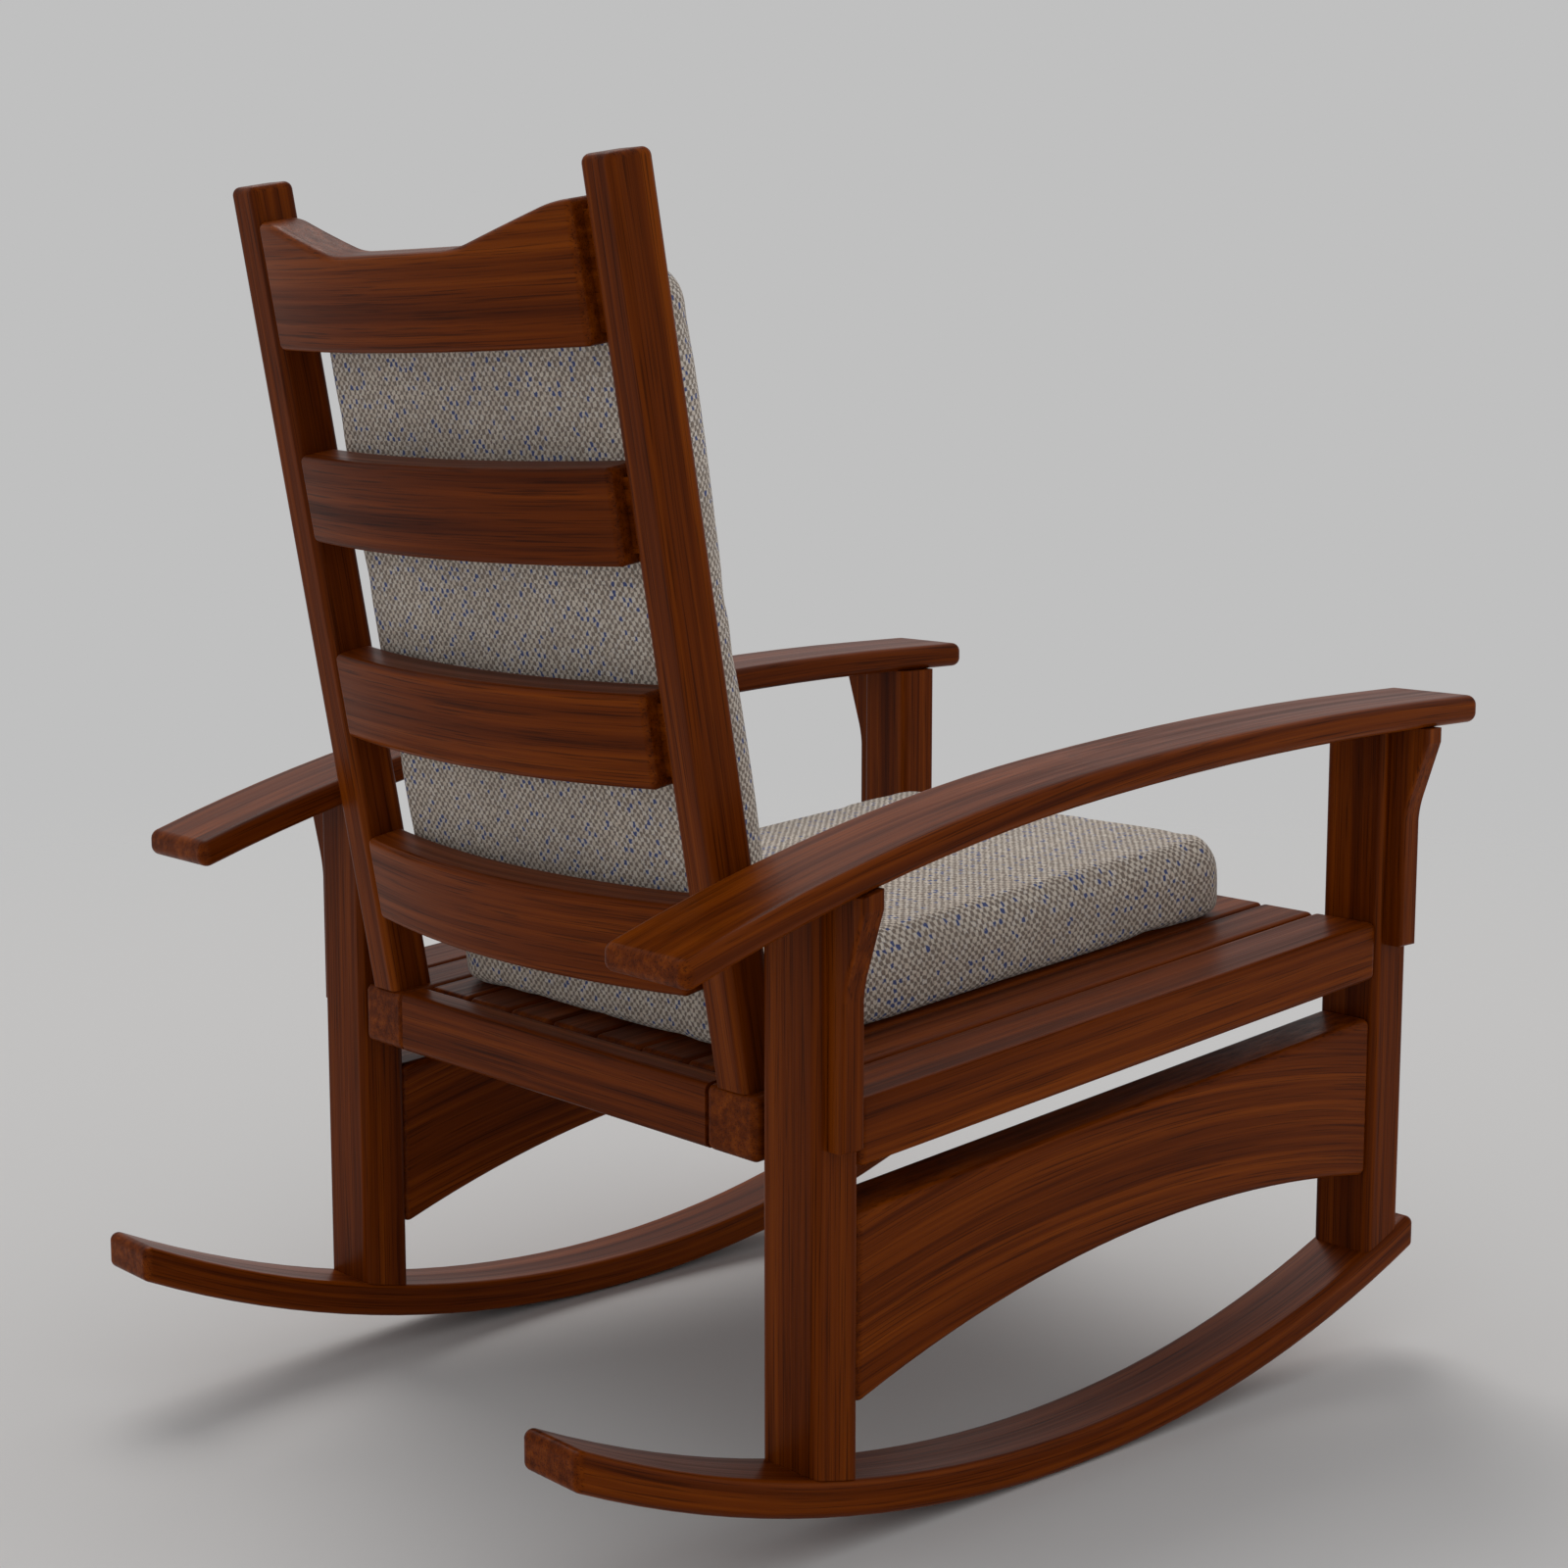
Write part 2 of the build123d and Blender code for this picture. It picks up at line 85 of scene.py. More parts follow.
# mahogany, planed, stained warm brown and varnished: long fine dark lines, a satin gloss that
# only shows its strength at a low angle
mahogany = {
    "dark": "#4a1b01",
    "middle": "#692c02",
    "light": "#843d05",
    "bandWidth": 7.0,        # mm across the grain
    "bandLength": 700.0,     # mm along it
    "broadWidth": 30,
    "broadLength": 900,
    "broadShare": 0.35,      # of the broad bands in the colour
    "poreWidth": 1.3,
    "poreLength": 110.0,
    "poreDark": 0.5,
    "poreFrom": 0.34,        # noise below this is a pore, and above the next is none
    "poreTo": 0.46,
    "wander": 6.0,           # mm that a band drifts sideways
    "wanderWidth": 80,
    "wanderLength": 380,
    "darkAt": 0.32,          # noise that gives each colour
    "middleAt": 0.50,
    "lightAt": 0.66,
    "roughness": 0.33,
    "duller": 0.07,          # added to the roughness of the dark bands
    "glossier": 0.05,        # taken from that of the light ones
    "relief": 0.30,          # mm
    "reliefStrength": 0.5,
    "bandRelief": 1.6,       # against the pores
    "ior": 1.45,
    "specular": 0.05,
    "varnish": 0.03,
    "varnishRoughness": 0.2,
    "varnishIor": 1.5,
    "shift": 0.37,           # m between the patterns of one piece and the next
    "shiftRatio": (1, 1.7, 0.6),
}


def alongGrain(tree, grain):
    # Z becomes the length along the grain, about an arc where the piece is bent
    place = addNode(tree, "ShaderNodeTexCoord").outputs["Object"]
    turned = addNode(tree, "ShaderNodeMapping",
                     {"Vector": place, "Location": grain["origin"], "Rotation": grain["turn"]},
                     vector_type="TEXTURE").outputs[0]
    if "radius" not in grain:
        return turned
    parts = addNode(tree, "ShaderNodeSeparateXYZ", {0: turned})
    flat = addNode(tree, "ShaderNodeVectorMath", {0: turned, 1: (0, 1, 1)}, operation="MULTIPLY")
    reach = addNode(tree, "ShaderNodeVectorMath", {0: flat.outputs[0]}, operation="LENGTH")
    angle = addNode(tree, "ShaderNodeMath", {0: parts.outputs[1], 1: parts.outputs[2]},
                    operation="ARCTAN2")
    length = addNode(tree, "ShaderNodeMath", {0: angle.outputs[0], 1: grain["radius"]},
                     operation="MULTIPLY")
    return addNode(tree, "ShaderNodeCombineXYZ", {0: parts.outputs[0], 1: reach.outputs["Value"],
                                                  2: length.outputs[0]}).outputs[0]


def grainNoise(tree, vector, shift, width, length, detail):
    scale = (1000.0 / width, 1000.0 / width, 1000.0 / length)
    stretched = addNode(tree, "ShaderNodeMapping",
                        {"Vector": vector, "Location": shift, "Scale": scale})
    return addNode(tree, "ShaderNodeTexNoise",
                   {"Vector": stretched.outputs[0], "Scale": 1.0, "Detail": detail})


def mahoganyFor(name, grain, shift):
    m = mahogany
    material, tree = newMaterial("mahogany." + name)
    vector = alongGrain(tree, grain)
    slow = grainNoise(tree, vector, shift, m["wanderWidth"], m["wanderLength"], 1.0)
    drift = addNode(tree, "ShaderNodeVectorMath",
                    {0: slow.outputs["Color"], 1: (m["wander"] / 1000,) * 2 + (0,)},
                    operation="MULTIPLY")
    bent = addNode(tree, "ShaderNodeVectorMath", {0: vector, 1: drift.outputs[0]},
                   operation="ADD").outputs[0]
    bands = grainNoise(tree, bent, shift, m["bandWidth"], m["bandLength"], 3.0).outputs[0]
    broad = grainNoise(tree, bent, shift, m["broadWidth"], m["broadLength"], 1.0).outputs[0]
    pores = grainNoise(tree, bent, shift, m["poreWidth"], m["poreLength"], 2.0).outputs[0]
    mixed = addNode(tree, "ShaderNodeMix",
                    {"Factor": m["broadShare"], 2: bands, 3: broad}).outputs[0]
    low = addNode(tree, "ShaderNodeMapRange",
                  {"Value": mixed, 1: m["darkAt"], 2: m["middleAt"], 3: 0.0, 4: 1.0})
    high = addNode(tree, "ShaderNodeMapRange",
                   {"Value": mixed, 1: m["middleAt"], 2: m["lightAt"], 3: 0.0, 4: 1.0})
    brown = addNode(tree, "ShaderNodeMix",
                    {"Factor": low.outputs[0], 6: colour(m["dark"]), 7: colour(m["middle"])},
                    data_type="RGBA")
    wood = addNode(tree, "ShaderNodeMix",
                   {"Factor": high.outputs[0], 6: brown.outputs[2], 7: colour(m["light"])},
                   data_type="RGBA")
    line = addNode(tree, "ShaderNodeMapRange",
                   {"Value": pores, 1: m["poreFrom"], 2: m["poreTo"], 3: m["poreDark"], 4: 1.0})
    tinted = addNode(tree, "ShaderNodeVectorMath", {0: wood.outputs[2], 3: line.outputs[0]},
                     operation="SCALE")
    ridge = addNode(tree, "ShaderNodeMath", {0: bands, 1: m["bandRelief"], 2: pores},
                    operation="MULTIPLY_ADD")
    bump = addNode(tree, "ShaderNodeBump",
                   {"Height": ridge.outputs[0], "Strength": m["reliefStrength"],
                    "Distance": m["relief"] / 1000})
    gloss = addNode(tree, "ShaderNodeMapRange",
                    {"Value": bands, 1: noiseLow, 2: noiseHigh,
                     3: m["roughness"] + m["duller"], 4: m["roughness"] - m["glossier"]})
    shader = addNode(tree, "ShaderNodeBsdfPrincipled",
                     {"Base Color": tinted.outputs[0], "Roughness": gloss.outputs[0],
                      "Normal": bump.outputs[0], "IOR": m["ior"],
                      "Specular IOR Level": m["specular"], "Coat Weight": m["varnish"],
                      "Coat Roughness": m["varnishRoughness"], "Coat IOR": m["varnishIor"],
                      "Coat Normal": bump.outputs[0]})
    addNode(tree, "ShaderNodeOutputMaterial", {"Surface": shader.outputs[0]})
    return material


def paint(name, material):
    mesh = nodes[name].data
    mesh.materials.clear()
    mesh.materials.append(material)


def turnTo(first, second, third):
    # rotation that carries X, Y and Z of the pattern onto three directions of the chair
    return Matrix((first, second, third)).transposed().to_euler()


# how the chair's pieces lie and bend, in degrees and metres, for the run of the grain
bends = {
    "recline": 10.05,
    "seatSlope": 4.85,
    "rearFace": 0.2775,              # rear faces of the rear legs
    "deckRear": 0.357,               # top of the deck there
    "rockerCentre": (0, -0.0165, 1.191),
    "rockerRadius": 1.176,
    "armLevel": -0.42,               # where the arms' curve is level
    "armRadius": 2.9,
    "panelMiddle": -0.14,
    "panelDrop": 1.45,               # from the panels' highest edge to the centre of their arch
    "panelRadius": 1.34,
    "slatRadius": 1.066,             # of the bowed slats' rear faces
    "slatRear": 0.0285,              # of those faces behind the back's foot
}
recline = math.radians(bends["recline"])
seatSlope = math.radians(bends["seatSlope"])
deckUp = Vector((0, math.sin(seatSlope), math.cos(seatSlope)))
deckForward = Vector((0, -math.cos(seatSlope), math.sin(seatSlope)))
backUp = Vector((0, math.sin(recline), math.cos(recline)))
backRear = Vector((0, math.cos(recline), -math.sin(recline)))
right, rear, up = Vector((1, 0, 0)), Vector((0, 1, 0)), Vector((0, 0, 1))
backFoot = Vector((0, bends["rearFace"], bends["deckRear"]))
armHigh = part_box("arm_left")[1][2]
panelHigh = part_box("side_panel_left")[1][2]

alongX = {"origin": (0, 0, 0), "turn": turnTo(rear, up, right)}
alongDeck = {"origin": (0, 0, 0), "turn": turnTo(right, deckUp, deckForward)}
alongZ = {"origin": (0, 0, 0), "turn": (0, 0, 0)}
upTheBack = {"origin": (0, 0, 0), "turn": turnTo(right, backRear, backUp)}
rockerArc = {"origin": bends["rockerCentre"], "turn": turnTo(right, -rear, -up),
             "radius": bends["rockerRadius"]}
armArc = {"origin": (0, bends["armLevel"], armHigh - bends["armRadius"]),
          "turn": turnTo(right, rear, up), "radius": bends["armRadius"]}
panelArc = {"origin": (0, bends["panelMiddle"], panelHigh - bends["panelDrop"]),
            "turn": turnTo(right, rear, up), "radius": bends["panelRadius"]}
slatArc = {"origin": backFoot + backRear * (bends["slatRear"] - bends["slatRadius"]),
           "turn": turnTo(backUp, right, backRear), "radius": bends["slatRadius"]}
grains = {"rocker": rockerArc, "arm": armArc, "side_panel": panelArc, "leg": alongZ,
          "corbel": alongZ, "side_rail": alongDeck, "inner_rail": alongDeck,
          "seat_slat": alongDeck, "back_post": upTheBack, "rear_rail": alongX,
          "front_rail": alongX, "rear_cleat": alongX, "back_slat": slatArc,
          "crest_rail": slatArc}
for index, name in enumerate(sorted(nodes)):
    for family, grain in grains.items():
        if name.startswith(family) and not name.endswith("dowels"):
            shift = [index * mahogany["shift"] * ratio for ratio in mahogany["shiftRatio"]]
            paint(name, mahoganyFor(name, grain, shift))
print("wood ready")

# beech, turned and left raw: pale and dull, with faint lines
beech = {
    "dark": "#a98560",
    "light": "#cdb08a",
    "linesPerMetre": 700.0,  # about 1.4 mm apart
    "roughness": 0.7,
    "relief": 0.1,           # mm
    "reliefStrength": 0.3,
}


def beechDowel():
    b = beech
    material, tree = newMaterial("beechDowel")
    place = addNode(tree, "ShaderNodeTexCoord").outputs["Object"]
    lines = addNode(tree, "ShaderNodeTexNoise",
                    {"Vector": place, "Scale": b["linesPerMetre"], "Detail": 3.0}).outputs[0]
    tone = addNode(tree, "ShaderNodeMix",
                   {"Factor": lines, 6: colour(b["dark"]), 7: colour(b["light"])},
                   data_type="RGBA")
    bump = addNode(tree, "ShaderNodeBump",
                   {"Height": lines, "Strength": b["reliefStrength"],
                    "Distance": b["relief"] / 1000})
    shader = addNode(tree, "ShaderNodeBsdfPrincipled",
                     {"Base Color": tone.outputs[2], "Roughness": b["roughness"],
                      "Normal": bump.outputs[0]})
    addNode(tree, "ShaderNodeOutputMaterial", {"Surface": shader.outputs[0]})
    return material


# zinc plated steel: cool grey, cloudy, dull where the plating is thicker
zinc = {
    "dark": "#9a9c9c",
    "light": "#c4c6c4",
    "cloudsPerMetre": 900.0,         # about 1.1 mm across
    "shiny": 0.28,                   # roughness of the thin plating, then of the thick
    "dull": 0.5,
}


def zincPlatedSteel():
    z = zinc
    material, tree = newMaterial("zincPlatedSteel")
    place = addNode(tree, "ShaderNodeTexCoord").outputs["Object"]
    cloud = addNode(tree, "ShaderNodeTexNoise",
                    {"Vector": place, "Scale": z["cloudsPerMetre"], "Detail": 2.0}).outputs[0]
    rough = addNode(tree, "ShaderNodeMapRange", {"Value": cloud, 3: z["shiny"], 4: z["dull"]})
    tone = addNode(tree, "ShaderNodeMix",
                   {"Factor": cloud, 6: colour(z["dark"]), 7: colour(z["light"])},
                   data_type="RGBA")
    shader = addNode(tree, "ShaderNodeBsdfPrincipled",
                     {"Base Color": tone.outputs[2], "Metallic": 1.0,
                      "Roughness": rough.outputs[0]})
    addNode(tree, "ShaderNodeOutputMaterial", {"Surface": shader.outputs[0]})
    return material


dowelWood = beechDowel()
for name in nodes:
    if name.endswith("dowels"):
        paint(name, dowelWood)
paint("slat_screws", zincPlatedSteel())
print("dowels and screws ready")

# woven wool blend: fat pale nubs of yarn, staggered, with painted shade in the gaps between them and
# a blue yarn here and there
weave = {
    "threadPitch": 3.9,      # mm from one crossing to the next
    "nubHeight": 1.1,        # mm
    "nubFrom": -0.45,        # height of the woven wave where a nub begins, and where it is full
    "nubTo": 0.4,
    "nub": "#e2d4c5",
    "pale": "#f0e6d9",
    # painted shade: the darker colour laid in the hollows between the nubs
    "gapShade": "#8f8175",
    "fleck": "#4d5a8c",
    "fleckShare": 0.14,      # of the gaps
    "wobble": 5.6,           # mm that a thread strays at most
    "wobblesPerMetre": 230.0,        # about 4.3 mm apart
    "fibresPerMetre": 1100.0,        # about 0.9 mm
    "patchesPerMetre": 12.0,         # about 83 mm
    "fibreShade": (0.80, 1.12),      # darkest and lightest, times the yarn's colour
    "patchShade": (0.92, 1.06),
    "fibreRelief": 0.2,      # against the nubs
    "reliefStrength": 0.85,
    "roughness": 0.93,
    "specular": 0.2,
    "sheen": 0.2,
    "sheenRoughness": 0.5,
}


def wovenWoolBlend():
    w = weave
    material, tree = newMaterial("wovenWoolBlend")
    surface = addNode(tree, "ShaderNodeUVMap", uv_map="clothUv").outputs[0]
    wobble = addNode(tree, "ShaderNodeTexNoise",
                     {"Vector": surface, "Scale": w["wobblesPerMetre"], "Detail": 2.0})
    shifted = addNode(tree, "ShaderNodeVectorMath",
                      {0: wobble.outputs["Color"], 1: (w["wobble"] / 1000,) * 2 + (0,)},
                      operation="MULTIPLY")
    cloth = addNode(tree, "ShaderNodeVectorMath", {0: surface, 1: shifted.outputs[0]},
                    operation="ADD")
    threads = addNode(tree, "ShaderNodeVectorMath",
                      {0: cloth.outputs[0], 3: 1000.0 / w["threadPitch"]}, operation="SCALE")
    parts = addNode(tree, "ShaderNodeSeparateXYZ", {0: threads.outputs[0]})
    waves = []
    for axis in (0, 1):
        turned = addNode(tree, "ShaderNodeMath", {0: parts.outputs[axis], 1: math.pi},
                         operation="MULTIPLY")
        wave = addNode(tree, "ShaderNodeMath", {0: turned.outputs[0]}, operation="SINE")
        waves.append(wave.outputs[0])
    checker = addNode(tree, "ShaderNodeMath", {0: waves[0], 1: waves[1]},
                      operation="MULTIPLY").outputs[0]
    nub = addNode(tree, "ShaderNodeMapRange",
                  {"Value": checker, 1: w["nubFrom"], 2: w["nubTo"], 3: 0.0, 4: 1.0},
                  interpolation_type="SMOOTHSTEP").outputs[0]
    cell = addNode(tree, "ShaderNodeVectorMath", {0: threads.outputs[0]}, operation="FLOOR")
    chance = addNode(tree, "ShaderNodeTexWhiteNoise", {"Vector": cell.outputs[0]},
                     noise_dimensions="2D").outputs["Value"]
    fibre = addNode(tree, "ShaderNodeTexNoise",
                    {"Vector": surface, "Scale": w["fibresPerMetre"], "Detail": 3.0}).outputs[0]
    patch = addNode(tree, "ShaderNodeTexNoise",
                    {"Vector": surface, "Scale": w["patchesPerMetre"], "Detail": 2.0}).outputs[0]
    yarn = addNode(tree, "ShaderNodeMix",
                   {"Factor": chance, 6: colour(w["nub"]), 7: colour(w["pale"])},
                   data_type="RGBA")
    shade = yarn.outputs[2]
    for noise, limits in ((fibre, w["fibreShade"]), (patch, w["patchShade"])):
        strength = addNode(tree, "ShaderNodeMapRange",
                           {"Value": noise, 1: noiseLow, 2: noiseHigh, 3: limits[0], 4: limits[1]})
        shade = addNode(tree, "ShaderNodeVectorMath", {0: shade, 3: strength.outputs[0]},
                        operation="SCALE").outputs[0]
    rare = addNode(tree, "ShaderNodeMath", {0: chance, 1: 1 - w["fleckShare"]},
                   operation="GREATER_THAN")
    # painted shade in the hollows between the nubs, with the blue yarn in some of them
    gapShadeAndFleck = addNode(tree, "ShaderNodeMix",
                     {"Factor": rare.outputs[0], 6: colour(w["gapShade"]), 7: colour(w["fleck"])},
                     data_type="RGBA")
    shaded = addNode(tree, "ShaderNodeMix", {"Factor": nub, 6: gapShadeAndFleck.outputs[2], 7: shade},
                     data_type="RGBA")
    relief = addNode(tree, "ShaderNodeMath", {0: fibre, 1: w["fibreRelief"], 2: nub},
                     operation="MULTIPLY_ADD")
    bump = addNode(tree, "ShaderNodeBump",
                   {"Height": relief.outputs[0], "Strength": w["reliefStrength"],
                    "Distance": w["nubHeight"] / 1000})
    shader = addNode(tree, "ShaderNodeBsdfPrincipled",
                     {"Base Color": shaded.outputs[2], "Roughness": w["roughness"],
                      "Normal": bump.outputs[0], "Sheen Weight": w["sheen"],
                      "Sheen Roughness": w["sheenRoughness"],
                      "Specular IOR Level": w["specular"]})
    addNode(tree, "ShaderNodeOutputMaterial", {"Surface": shader.outputs[0]})
    return material


# seat cushion: a loose slab on the deck, with fat round upper edges
seatCushionShape = {
    "node": "seat_cushion",
    "tuck": (0.003, 0.001, 0.001),   # m smaller than its room on each side before it swells
    "cornerEdge": 0.036,             # m of rounding, at the corners seen from its free face,
    "freeEdge": 0.034,               # round that face,
    "restEdge": 0.003,               # and round the face that it rests on
    "cap": 0.012,                    # m that it may swell
    "crown": 0.007,                  # m that its middle may rise over its room
    "primary": "top",                # the weave lies flat on this face
}
# back cushion: thinner, leaning on the slats
backCushionShape = {
    "node": "back_cushion",
    "tuck": (-0.004, 0.001, 0.002),
    "cornerEdge": 0.040,
    "freeEdge": 0.038,
    "restEdge": 0.022,
    "cap": 0.010,
    "crown": 0.006,
    "primary": "both",
}
cushionMaking = {
    "edgeSteps": 6,
    "voxel": 0.0058,
    "pressure": 4.0,
    "steps": 20,
    "quality": 5,
    "stiffness": 14,
    "ease": 0.5,
    "easeRounds": 8,
    "foldRadius": 0.032,             # m, of the edges that the weave is laid over
    "standGap": 0.001,               # m between the two cushions
    "sameLevel": 1e-4,               # m
}


def solidRoom(name, turn):
    back = Matrix.Rotation(-turn, 4, "X")
    spots = [back @ v.co for v in nodes[name].data.vertices]
    low = Vector([min(p[i] for p in spots) for i in range(3)])
    high = Vector([max(p[i] for p in spots) for i in range(3)])
    return Matrix.Rotation(turn, 4, "X"), low, high


def swell(piece):
    c = cushionMaking
    cloth = piece.modifiers.new("swell", "CLOTH")
    cloth.settings.use_pressure = True
    cloth.settings.uniform_pressure_force = c["pressure"]
    cloth.settings.effector_weights.gravity = 0
    cloth.settings.quality = c["quality"]
    cloth.settings.tension_stiffness = cloth.settings.compression_stiffness = c["stiffness"]
    cloth.point_cache.frame_start, cloth.point_cache.frame_end = 1, c["steps"]
    for step in range(1, c["steps"] + 1):
        bpy.context.scene.frame_set(step)
    bpy.ops.object.modifier_apply(modifier="swell")
    bpy.context.scene.frame_set(1)


def bevelWhere(piece, offset, wanted):
    pickOnly(piece)
    bpy.ops.object.mode_set(mode="EDIT")
    bpy.ops.mesh.select_mode(type="EDGE")
    bpy.ops.mesh.select_all(action="DESELECT")
    bpy.ops.object.mode_set(mode="OBJECT")
    spots = piece.data.vertices
    for edge in piece.data.edges:
        edge.select = wanted(spots[edge.vertices[0]].co, spots[edge.vertices[1]].co)
    bpy.ops.object.mode_set(mode="EDIT")
    bpy.ops.mesh.bevel(offset=offset, segments=cushionMaking["edgeSteps"], affect="EDGES")
    bpy.ops.object.mode_set(mode="OBJECT")


def makeCushion(label, shape, turn, thin):
    c = cushionMaking
    place, low, high = solidRoom(shape["node"], turn)
    middle, room = (low + high) / 2, high - low
    deselectAll()
    bpy.ops.mesh.primitive_cube_add(size=1, location=middle)
    piece = bpy.context.object
    piece.name = label
    piece.scale = [room[i] - 2 * shape["tuck"][i] for i in range(3)]
    bpy.ops.object.transform_apply(location=True, rotation=False, scale=True)
    free = 1 if thin == 2 else -1          # which way the free face looks along the thin axis
    long = 3 - thin
    half = piece.dimensions[thin] / 2
    bevelWhere(piece, shape["cornerEdge"], lambda a, b: abs(a[thin] - b[thin]) > half)
    for face, offset in ((free, shape["freeEdge"]), (-free, shape["restEdge"])):
        level = middle[thin] + face * half
        bevelWhere(piece, offset,
                   lambda a, b: max(abs(a[thin] - level), abs(b[thin] - level)) < c["sameLevel"])
    piece.data.remesh_voxel_size = c["voxel"]
    bpy.ops.object.voxel_remesh()
    rest = [v.co.copy() for v in piece.data.vertices]
    swell(piece)
    for spot, vertex in zip(rest, piece.data.vertices):
        moved = vertex.co - spot
        if moved.length > shape["cap"]:
            vertex.co = spot + moved.normalized() * shape["cap"]
    ease = piece.modifiers.new("ease", "SMOOTH")
    ease.factor, ease.iterations = c["ease"], c["easeRounds"]
    bpy.ops.object.modifier_apply(modifier="ease")
    # flat where it rests, proud by a crown on its free face, and hardly wider than its room
    for vertex in piece.data.vertices:
        for axis in range(3):
            spare = max(0.0, -shape["tuck"][axis])
            below, above = low[axis] - spare, high[axis] + spare
            if axis == thin:
                across = (vertex.co[0] - middle[0]) / room[0] * 2
                along = (vertex.co[long] - middle[long]) / room[long] * 2
                proud = shape["crown"] * max(0.0, 1 - across ** 2) * max(0.0, 1 - along ** 2)
                above += proud if free > 0 else 0
                below -= proud if free < 0 else 0
            vertex.co[axis] = min(max(vertex.co[axis], below), above)
    fine = piece.modifiers.new("fine", "SUBSURF")
    fine.levels = fine.render_levels = 1
    bpy.ops.object.modifier_apply(modifier="fine")
    bpy.ops.object.shade_smooth()
    layClothUv(piece, middle, room, thin, shape["primary"])
    piece.data.transform(place)
    piece.data.update()
    return piece


def layClothUv(piece, middle, room, thin, primary):
    # unrolls the weave from the large faces over the rounded edges and down the sides
    mesh = piece.data
    layer = mesh.uv_layers.new(name="clothUv")
    long = 3 - thin
    radius = cushionMaking["foldRadius"]
    spots = []
    for vertex in mesh.vertices:
        p, n = vertex.co - middle, vertex.normal
        side = 1 if primary == "top" or p[thin] > 0 else -1
        fall = room[thin] / 2 - side * p[thin]
        flat = max(0.0, side * n[thin])
        spot = []
        for axis in (0, long):
            lean = min(1.0, abs(n[axis]))
            angle = math.asin(lean)
            share = n[axis] ** 2 / (n[0] ** 2 + n[long] ** 2 + 1e-6) * (1 - flat)
            drop = max(0.0, fall - radius * (1 - math.cos(angle)))
            extra = radius * (angle - lean) + share * drop
            spot.append(p[axis] + math.copysign(extra, p[axis]))
        spots.append(spot)
    for loop in mesh.loops:
        layer.data[loop.index].uv = spots[loop.vertex_index]


def liftOffSeat(piece):
    # the back cushion stands on the seat cushion and doesn't sink into it
    seatTop = max((v.co - backFoot).dot(deckUp) for v in nodes["seat_cushion"].data.vertices)
    lowest = seatTop + cushionMaking["standGap"]
    for vertex in piece.data.vertices:
        height = (vertex.co - backFoot).dot(deckUp)
        if height < lowest:
            vertex.co += deckUp * (lowest - height)


wool = wovenWoolBlend()
seatCushion = makeCushion("seatCushion", seatCushionShape, -seatSlope, 2)
backCushion = makeCushion("backCushion", backCushionShape, -recline, 1)
liftOffSeat(backCushion)
for piece, body in ((seatCushion, "seat_cushion"), (backCushion, "back_cushion")):
    piece.data.materials.append(wool)
    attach(piece, body)
    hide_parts(body)
print("cushions ready")

# painted studio floor, rolled matt: even and pale, with hardly any shine
studio = {
    "backdrop": "#c0c0c0",
    "backdropStrength": 1.0,
    "floor": "#dfdfdf",
    "floorSides": 96,
    "floorRadius": 9.0,      # m
    "floorSink": 0.0005,     # m below the rockers
    "floorRoughness": 0.95,
    "floorSpecular": 0.05,
    "air": 1.02,             # strength of the light from all around
    "key": 0.80,             # W/m2, from over the chair's left side
    "keySpread": 32.0,       # degrees, for soft shadows
    "keyColour": "#fffaf6",
    "keyPlace": (2.3, -0.9, 3.1),
    "fadeStart": 1.5,        # m from the chair, where the floor begins to melt into the backdrop
    "fadeEnd": 4.2,
}


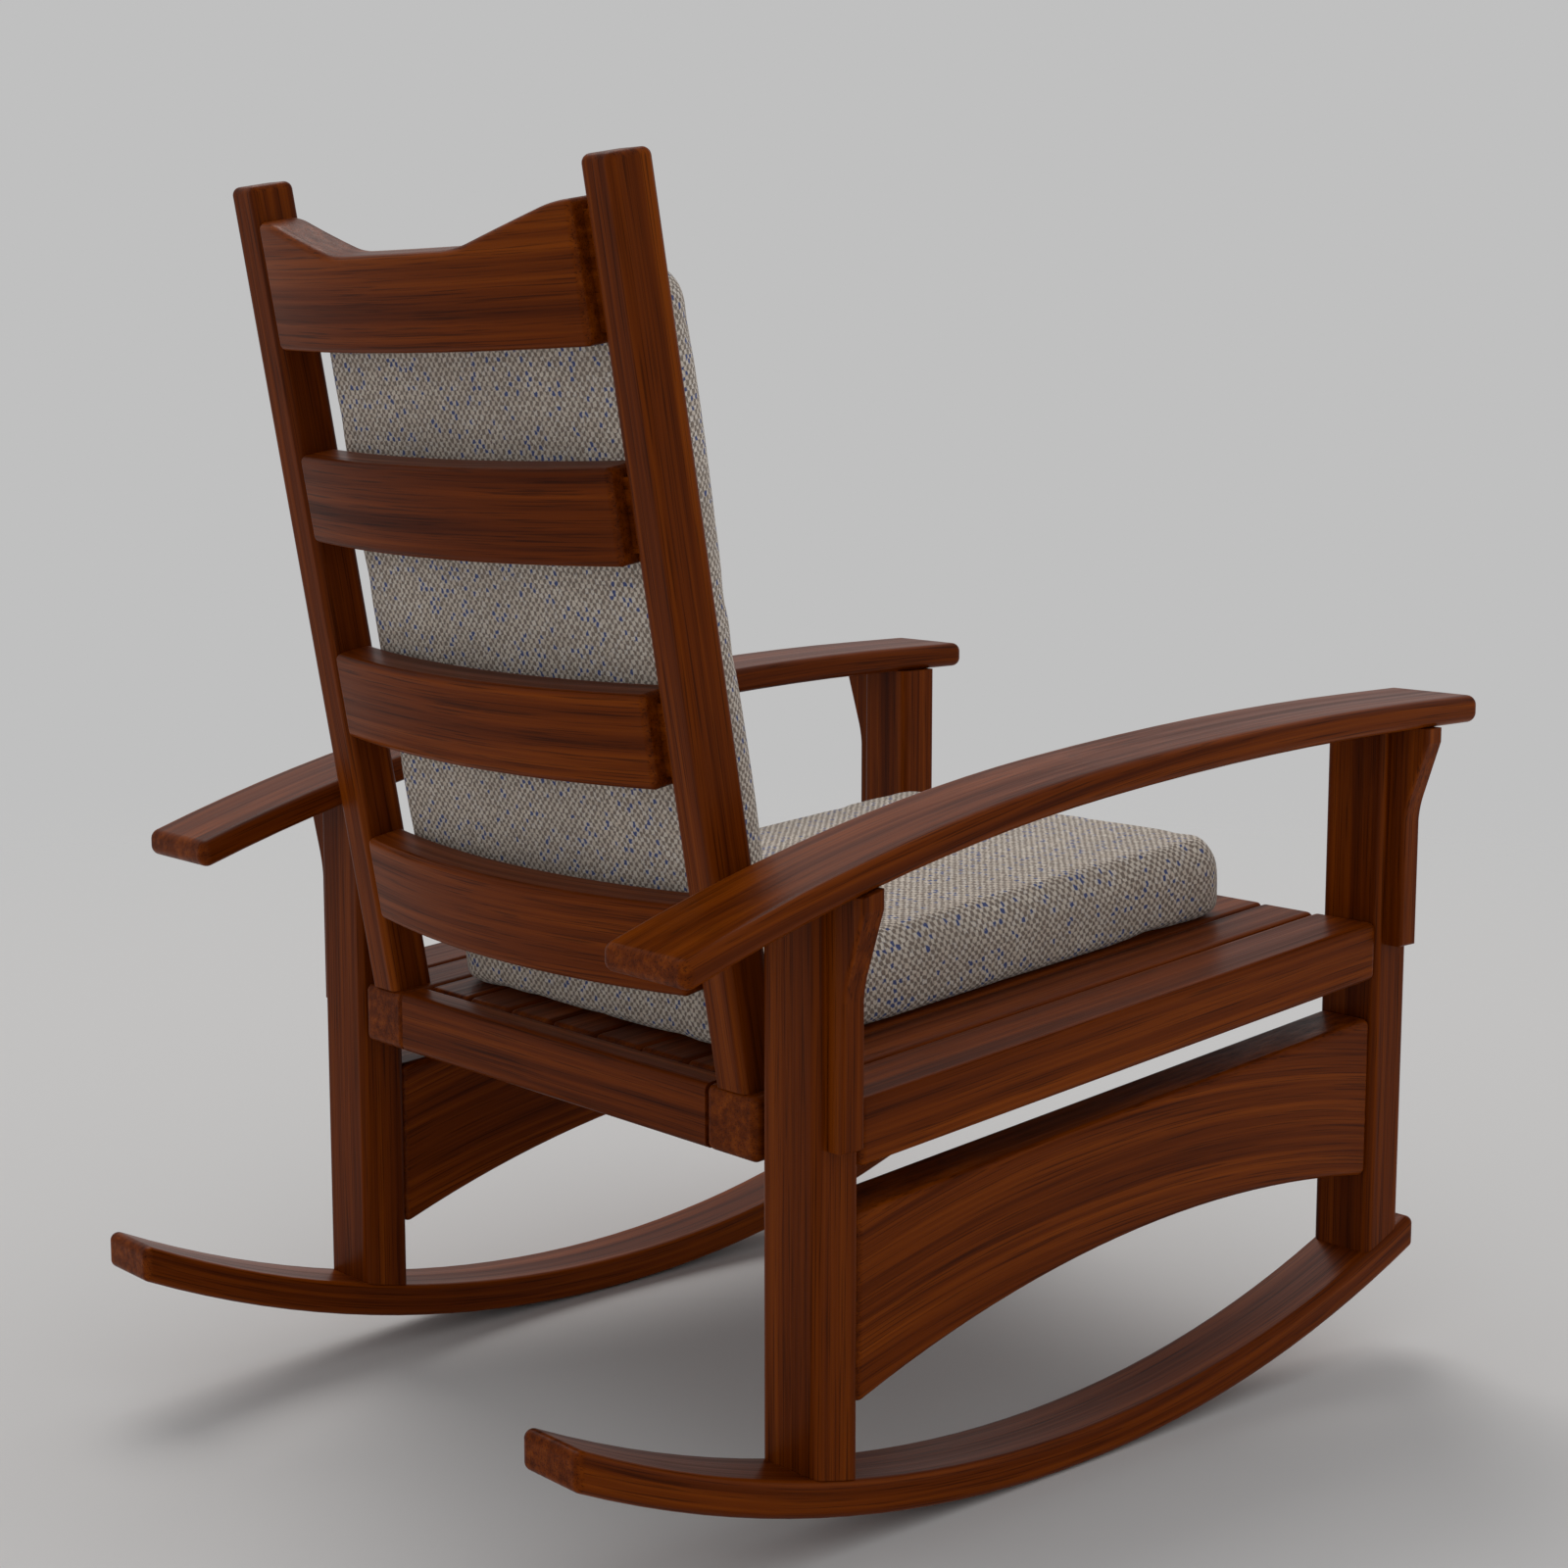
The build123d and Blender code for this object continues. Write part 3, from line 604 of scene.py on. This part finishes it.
def makeStage():
    s = studio
    deselectAll()
    bpy.ops.mesh.primitive_circle_add(vertices=s["floorSides"], radius=s["floorRadius"],
                                      fill_type="NGON", location=(0, 0, 0))
    floor = bpy.context.object
    floor.name = "studioFloor"
    floor.data.transform(Matrix.Translation((0, 0, -s["floorSink"])))
    material, tree = newMaterial("paintedFloor")
    place = addNode(tree, "ShaderNodeTexCoord").outputs["Object"]
    reach = addNode(tree, "ShaderNodeVectorMath", {0: place}, operation="LENGTH")
    fade = addNode(tree, "ShaderNodeMapRange",
                   {"Value": reach.outputs["Value"], 1: s["fadeStart"], 2: s["fadeEnd"],
                    3: 0.0, 4: 1.0}, interpolation_type="SMOOTHSTEP")
    matt = addNode(tree, "ShaderNodeBsdfPrincipled",
                   {"Base Color": colour(s["floor"]), "Roughness": s["floorRoughness"],
                    "Specular IOR Level": s["floorSpecular"]})
    clear = addNode(tree, "ShaderNodeBsdfTransparent")
    mix = addNode(tree, "ShaderNodeMixShader",
                  {0: fade.outputs[0], 1: matt.outputs[0], 2: clear.outputs[0]})
    addNode(tree, "ShaderNodeOutputMaterial", {"Surface": mix.outputs[0]})
    floor.data.materials.append(material)
    world = bpy.data.worlds.new("studioAir")
    bpy.context.scene.world = world
    world.use_nodes = True
    tree = world.node_tree
    tree.nodes.clear()
    seen = addNode(tree, "ShaderNodeLightPath").outputs["Is Camera Ray"]
    strength = addNode(tree, "ShaderNodeMapRange",
                       {"Value": seen, 3: s["air"], 4: s["backdropStrength"]})
    sky = addNode(tree, "ShaderNodeBackground",
                  {"Color": colour(s["backdrop"]), "Strength": strength.outputs[0]})
    addNode(tree, "ShaderNodeOutputWorld", {"Surface": sky.outputs[0]})


def addKeyLight(place):
    data = bpy.data.lights.new("keyLight", "SUN")
    data.energy = studio["key"]
    data.angle = math.radians(studio["keySpread"])
    data.color = colour(studio["keyColour"])[:3]
    lamp = bpy.data.objects.new("keyLight", data)
    bpy.context.scene.collection.objects.link(lamp)
    lamp.location = place
    lamp.rotation_mode = "QUATERNION"
    lamp.rotation_quaternion = (-Vector(place)).to_track_quat("-Z", "Y")


makeStage()
addKeyLight(studio["keyPlace"])
bpy.context.scene.view_settings.view_transform = "Standard"

# camera: metres, degrees clockwise from the +Y side and up, millimetres
view = {
    "place": (-1.8569, 1.6441, 0.9107),
    "yaw": 131.43,
    "pitch": -8.37,
    "lens": 63.75,
    "sensor": 36,
}
camera = bpy.data.cameras.new("viewCamera")
camera.lens = view["lens"]
camera.sensor_width = view["sensor"]
eye = bpy.data.objects.new("viewCamera", camera)
bpy.context.scene.collection.objects.link(eye)
eye.location = view["place"]
yaw, pitch = math.radians(view["yaw"]), math.radians(view["pitch"])
aim = Vector((math.sin(yaw) * math.cos(pitch), math.cos(yaw) * math.cos(pitch), math.sin(pitch)))
eye.rotation_mode = "QUATERNION"
eye.rotation_quaternion = aim.to_track_quat("-Z", "Y")
bpy.context.scene.camera = eye
print("stage ready")
